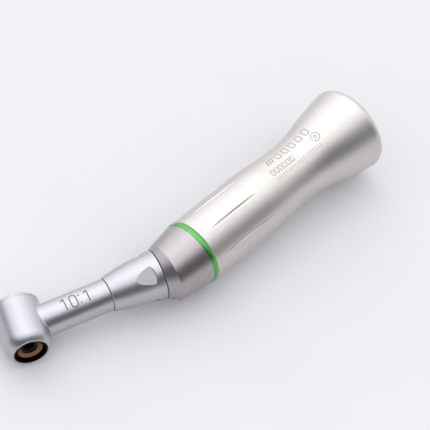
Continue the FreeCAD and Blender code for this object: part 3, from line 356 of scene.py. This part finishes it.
class Wrap:
    """Lays flat strokes on a round part: across runs along its axis, and height runs round it.

    start and azimuth give the lower left corner, direction is 1 or -1 for across along or against the
    axis, and rise is 1 or -1 for height with or against the azimuth.
    """

    def __init__(self, name, node, axis, start, azimuth, direction, rise, radius):
        self.name = name
        self.axis = axis
        self.start = start
        self.azimuth = azimuth
        self.direction = direction
        self.rise = rise
        self.radius = radius
        source = frame["nodes"][node].data
        corners = [vertex.co.copy() for vertex in source.vertices]
        self.surface = BVHTree.FromPolygons(corners, [face.vertices[:] for face in source.polygons])
        self.mesh = bmesh.new()

    def on_surface(self, across, height, lift):
        """The point of the part's skin below a flat point, lifted off it."""
        azimuth = self.azimuth + self.rise * math.degrees(height / self.radius)
        along = self.start + self.direction * across
        outward = self.axis.outward(azimuth)
        far = self.axis.point(along, azimuth, 3 * self.radius)
        hit = self.surface.ray_cast(far, -outward)[0]
        return hit + outward * lift

    def stroke(self, points, width, closed=False):
        """A closed and very thin band along a run of flat points, partly sunk in the skin."""
        count = len(points)
        rows = []
        for index, point in enumerate(points):
            before = points[index - 1] if index or closed else point
            after = points[(index + 1) % count] if index < count - 1 or closed else point
            run = Vector((after[0] - before[0], after[1] - before[1])).normalized()
            edge = Vector((-run.y, run.x)) * width / 2
            left = (point[0] + edge.x, point[1] + edge.y)
            right = (point[0] - edge.x, point[1] - edge.y)
            rows.append([self.mesh.verts.new(self.on_surface(*spot, level)) for spot, level in (
                (left, STROKE_TOP), (right, STROKE_TOP), (right, STROKE_FOOT), (left, STROKE_FOOT))])
        for index in range(count if closed else count - 1):
            near, far = rows[index], rows[(index + 1) % count]
            for corner in range(4):
                after = (corner + 1) % 4
                self.mesh.faces.new((near[corner], near[after], far[after], far[corner]))
        if not closed:
            self.mesh.faces.new(rows[0])
            self.mesh.faces.new(list(reversed(rows[-1])))

    def line(self, start, end, width, step=LINE_STEP):
        run = math.dist(start, end)
        count = max(2, math.ceil(run / step) + 1)
        self.stroke([tuple(a + (b - a) * i / (count - 1) for a, b in zip(start, end))
                     for i in range(count)], width)

    def finish(self, look, body, slot):
        bmesh.ops.recalc_face_normals(self.mesh, faces=self.mesh.faces)
        data = bpy.data.meshes.new(self.name)
        self.mesh.to_mesh(data)
        self.mesh.free()
        data.materials.append(look.material)
        piece = bpy.data.objects.new(self.name, data)
        bpy.context.scene.collection.objects.link(piece)
        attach(piece, body)


def along_loop(corners, step):
    """Points along a closed run of corners, no further apart than a step."""
    points = []
    for index, corner in enumerate(corners):
        after = corners[(index + 1) % len(corners)]
        parts = max(1, math.ceil(math.dist(corner, after) / step))
        points += [tuple(a + (b - a) * k / parts for a, b in zip(corner, after))
                   for k in range(parts)]
    return points


def round_box(wrap, left, low, wide, tall, corner, width):
    """An outline with two sides, two ends and a round corner between each."""
    loop = []
    for index in range(CORNER_POINTS):
        turn = 2 * math.pi * (index + 0.5) / CORNER_POINTS
        middle = left + corner if math.cos(turn) < 0 else left + wide - corner
        level = low + corner if math.sin(turn) < 0 else low + tall - corner
        loop.append((middle + corner * math.cos(turn), level + corner * math.sin(turn)))
    wrap.stroke(along_loop(loop, LOOP_STEP), width, closed=True)


def figure_one(wrap, left, tall, width):
    """A plain 1: a stem and a short flag."""
    flag_reach, flag_drop = 0.7 * MM, 0.65 * MM
    stem = left + flag_reach
    wrap.line((stem, 0), (stem, tall), width)
    wrap.line((stem, tall), (left, tall - flag_drop), width)


def colon(wrap, middle, tall, width):
    """Two dots, low and high, a little taller than they are wide."""
    low, high = 0.15 * tall, 0.76 * tall
    half_dot = width * 0.6
    for level in (low, high):
        dot = (middle, level - half_dot), (middle, level + half_dot)
        wrap.line(*dot, width * 1.25, 0.1 * MM)


def ratio_figures():
    """The reduction ratio, in plain figures, on the neck."""
    first_one, nought, dots, last_one = 0.0, 1.95 * MM, 4.1 * MM, 5.3 * MM
    nought_width = 1.45 * MM
    tall, width = 2.95 * MM, 0.27 * MM
    from_bend = (NECK.origin - bend_point()).dot(NECK.along)
    start = 26.5 * MM - from_bend
    wrap = Wrap("ratio_figures", "head_neck", NECK, start, 31.0, -1, -1, 3.65 * MM)
    figure_one(wrap, first_one, tall, width)
    round_box(wrap, nought, 0.0, nought_width, tall, nought_width / 2, width)
    colon(wrap, dots, tall, width)
    figure_one(wrap, last_one, tall, width)
    wrap.finish(MARK, "casing", "satin_chrome")


def bend_point():
    """Where the neck's axis meets the grip's."""
    between = NECK.origin - GRIP.origin
    sine = NECK.along.cross(GRIP.along).length
    back = between.cross(GRIP.along).length / sine
    return NECK.origin - NECK.along * back


def grip_marks():
    """Plain bars, boxes, rings and ticks on the grip, where a maker would mark it."""
    ring = (ring_centre() - GRIP.origin).dot(GRIP.along)
    wrap = Wrap("grip_marks", "handle_shell", GRIP, ring + 24.0 * MM, -20.5, 1, 1, 7.4 * MM)
    slanted_bars(wrap, 1.2 * MM, 3.75 * MM)
    for index in range(5):
        left = (4.2 + 2.25 * index) * MM
        round_box(wrap, left, 3.8 * MM, 1.25 * MM, 1.8 * MM, 0.3 * MM, 0.25 * MM)
    for index in range(6):
        left = 1.22 * index * MM
        round_box(wrap, left, 1.05 * MM, 0.78 * MM, 1.4 * MM, 0.2 * MM, BOX_WIDTH)
    for radius in (1.0 * MM, 0.35 * MM):
        circle(wrap, 14.3 * MM, 2.1 * MM, radius, BOX_WIDTH)
    row_of_ticks(wrap, 0.2 * MM)
    wrap.finish(FAINT_MARK, "casing", "champagne_satin")


def slanted_bars(wrap, start, low):
    """Three short bars that lean forwards."""
    pitch, lean, rise = 0.75 * MM, 0.8 * MM, 1.9 * MM
    for index in range(3):
        left = start + pitch * index
        wrap.line((left, low), (left + lean, low + rise), 0.34 * MM)


def circle(wrap, middle, level, radius, width):
    round_box(wrap, middle - radius, level - radius, 2 * radius, 2 * radius, radius, width)


def row_of_ticks(wrap, start):
    """Twenty ticks on the corner line, with a stretch of taller ones."""
    pitch, short, long = 0.72 * MM, 0.9 * MM, 1.3 * MM
    for index in range(20):
        left = start + pitch * index
        tall = long if 10 < index < 17 else short
        wrap.line((left, -0.5 * tall), (left, 0.5 * tall), 0.16 * MM, 0.2 * MM)


# ---------------------------------------------------------------------------------------------------
# Stage
# ---------------------------------------------------------------------------------------------------

CAMERA_AZIMUTH = -51.1
CAMERA_ELEVATION = 52.7
CAMERA_ROLL = 7.5
CAMERA_DISTANCE = 0.3783
CAMERA_LENS = 142.3
AIM_FROM_RING = Vector((0.0112, 0.0040, 0.0))
KEY_AZIMUTH = 165.0
KEY_ELEVATION = 67.0
KEY_DISTANCE = 0.9
KEY_RADIUS = 0.3
KEY_RADIANCE = 0.25
LIGHT = (1.75, 1.75, 1.80)
LIGHT_EDGE = 12.0
LIGHT_FALL = 69.0
SIDE_AZIMUTH = 125.0
SIDE_ELEVATION = 32.0
SIDE = (1.12, 1.12, 1.15)
SIDE_EDGE = 40.0
SIDE_FALL = 92.0
ROOM = (0.17, 0.17, 0.184)
HORIZON = (0.62, 0.62, 0.645)
HORIZON_EDGE = 18.0
FILL = (1.10, 1.10, 1.12)
FILL_SHARE = 0.9
PAPER = (0.785, 0.78, 0.80)
FLOOR_REACH = 3.0


def compass(azimuth, elevation):
    """Direction from the part; azimuth 0 is towards -Y and 90 towards +X."""
    turn, rise = math.radians(azimuth), math.radians(elevation)
    return Vector((math.sin(turn) * math.cos(rise), -math.cos(turn) * math.cos(rise), math.sin(rise)))


def ring_centre():
    low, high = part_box("ratio_ring")
    return (low + high) / 2


def make_camera():
    data = bpy.data.cameras.new("camera")
    data.lens = CAMERA_LENS
    data.clip_start, data.clip_end = 0.01, 20
    camera = bpy.data.objects.new("camera", data)
    bpy.context.scene.collection.objects.link(camera)
    back = compass(CAMERA_AZIMUTH, CAMERA_ELEVATION)
    camera.location = ring_centre() + AIM_FROM_RING + back * CAMERA_DISTANCE
    camera.rotation_mode = "QUATERNION"
    level = (-back).to_track_quat("-Z", "Y")
    roll = Matrix.Rotation(math.radians(CAMERA_ROLL), 4, "Z").to_quaternion()
    camera.rotation_quaternion = level @ roll
    bpy.context.scene.camera = camera


def make_softbox():
    """The core of the key light, which casts a soft shadow."""
    data = bpy.data.lights.new("softbox", "AREA")
    data.shape = "DISK"
    data.size = 2 * KEY_RADIUS
    data.energy = KEY_RADIANCE * math.pi * math.pi * KEY_RADIUS ** 2
    light = bpy.data.objects.new("softbox", data)
    bpy.context.scene.collection.objects.link(light)
    way = compass(KEY_AZIMUTH, KEY_ELEVATION)
    light.location = way * KEY_DISTANCE
    light.rotation_mode = "QUATERNION"
    light.rotation_quaternion = way.to_track_quat("Z", "Y")


def lobe(tree, way, azimuth, elevation, edge, fall):
    """1 within an angle of a direction, easing to 0 at a wider angle."""
    towards = tree.nodes.new("ShaderNodeVectorMath")
    towards.operation = "DOT_PRODUCT"
    towards.inputs[1].default_value = compass(azimuth, elevation)
    tree.links.new(way, towards.inputs[0])
    outer, inner = (math.cos(math.radians(angle)) for angle in (fall, edge))
    return ease(tree, towards.outputs["Value"], outer, inner)


def ease(tree, value, start, end):
    """0 at start and 1 at end, smooth between them."""
    made = tree.nodes.new("ShaderNodeMapRange")
    made.interpolation_type = "SMOOTHSTEP"
    made.inputs["From Min"].default_value = start
    made.inputs["From Max"].default_value = end
    tree.links.new(value, made.inputs["Value"])
    return made.outputs["Result"]


def blend(tree, factor, under, over, kind="MIX"):
    """The colour of over laid on under, which is a colour or a socket, by a factor from 0 to 1."""
    made = tree.nodes.new("ShaderNodeMix")
    made.data_type = "RGBA"
    made.blend_type = kind
    made.inputs["B"].default_value = (*over, 1)
    if isinstance(under, bpy.types.NodeSocket):
        tree.links.new(under, made.inputs["A"])
    else:
        made.inputs["A"].default_value = (*under, 1)
    tree.links.new(factor, made.inputs["Factor"])
    return made.outputs["Result"]


def make_world():
    """A broad key and a dimmer side light in a dim room, with a pale band at the horizon.

    Dull surfaces take most of their light from an even fill.
    """
    world = bpy.data.worlds.new("studio")
    bpy.context.scene.world = world
    world.use_nodes = True
    tree = world.node_tree
    way = tree.nodes.new("ShaderNodeTexCoord").outputs["Generated"]
    side = lobe(tree, way, SIDE_AZIMUTH, SIDE_ELEVATION, SIDE_EDGE, SIDE_FALL)
    key = lobe(tree, way, KEY_AZIMUTH, KEY_ELEVATION, LIGHT_EDGE, LIGHT_FALL)
    height = tree.nodes.new("ShaderNodeSeparateXYZ")
    tree.links.new(way, height.inputs["Vector"])
    band = ease(tree, height.outputs["Z"], math.sin(math.radians(HORIZON_EDGE)), 0.0)
    share = tree.nodes.new("ShaderNodeMath")
    share.operation = "MULTIPLY"
    share.inputs[1].default_value = FILL_SHARE
    tree.links.new(tree.nodes.new("ShaderNodeLightPath").outputs["Is Diffuse Ray"], share.inputs[0])
    colour = blend(tree, side, ROOM, SIDE)
    colour = blend(tree, key, colour, LIGHT)
    colour = blend(tree, band, colour, HORIZON, "LIGHTEN")
    colour = blend(tree, share.outputs["Value"], colour, FILL)
    tree.links.new(colour, tree.nodes["Background"].inputs["Color"])


def make_floor():
    look = Look("paper", PAPER, 0.0, 0.9)
    look.vary_colour(look.noise(30.0, 4.0), (0.775, 0.77, 0.79), (0.795, 0.79, 0.81))
    look.relief((look.noise(2500.0, 3.0), 4e-6))
    mesh = bmesh.new()
    bmesh.ops.create_grid(mesh, x_segments=8, y_segments=8, size=FLOOR_REACH)
    data = bpy.data.meshes.new("floor")
    mesh.to_mesh(data)
    mesh.free()
    data.materials.append(look.material)
    floor = bpy.data.objects.new("floor", data)
    bpy.context.scene.collection.objects.link(floor)
    floor.location.z = CAD_BOUNDS[0].z


def make_stage():
    make_floor()
    make_world()
    make_softbox()
    make_camera()
    bpy.context.scene.view_settings.view_transform = "Standard"


dress_nodes()
sprung("button_spring_coil", "button_spring")
sprung("dog_spring_coil", "dog_spring")
ratio_figures()
grip_marks()
make_stage()
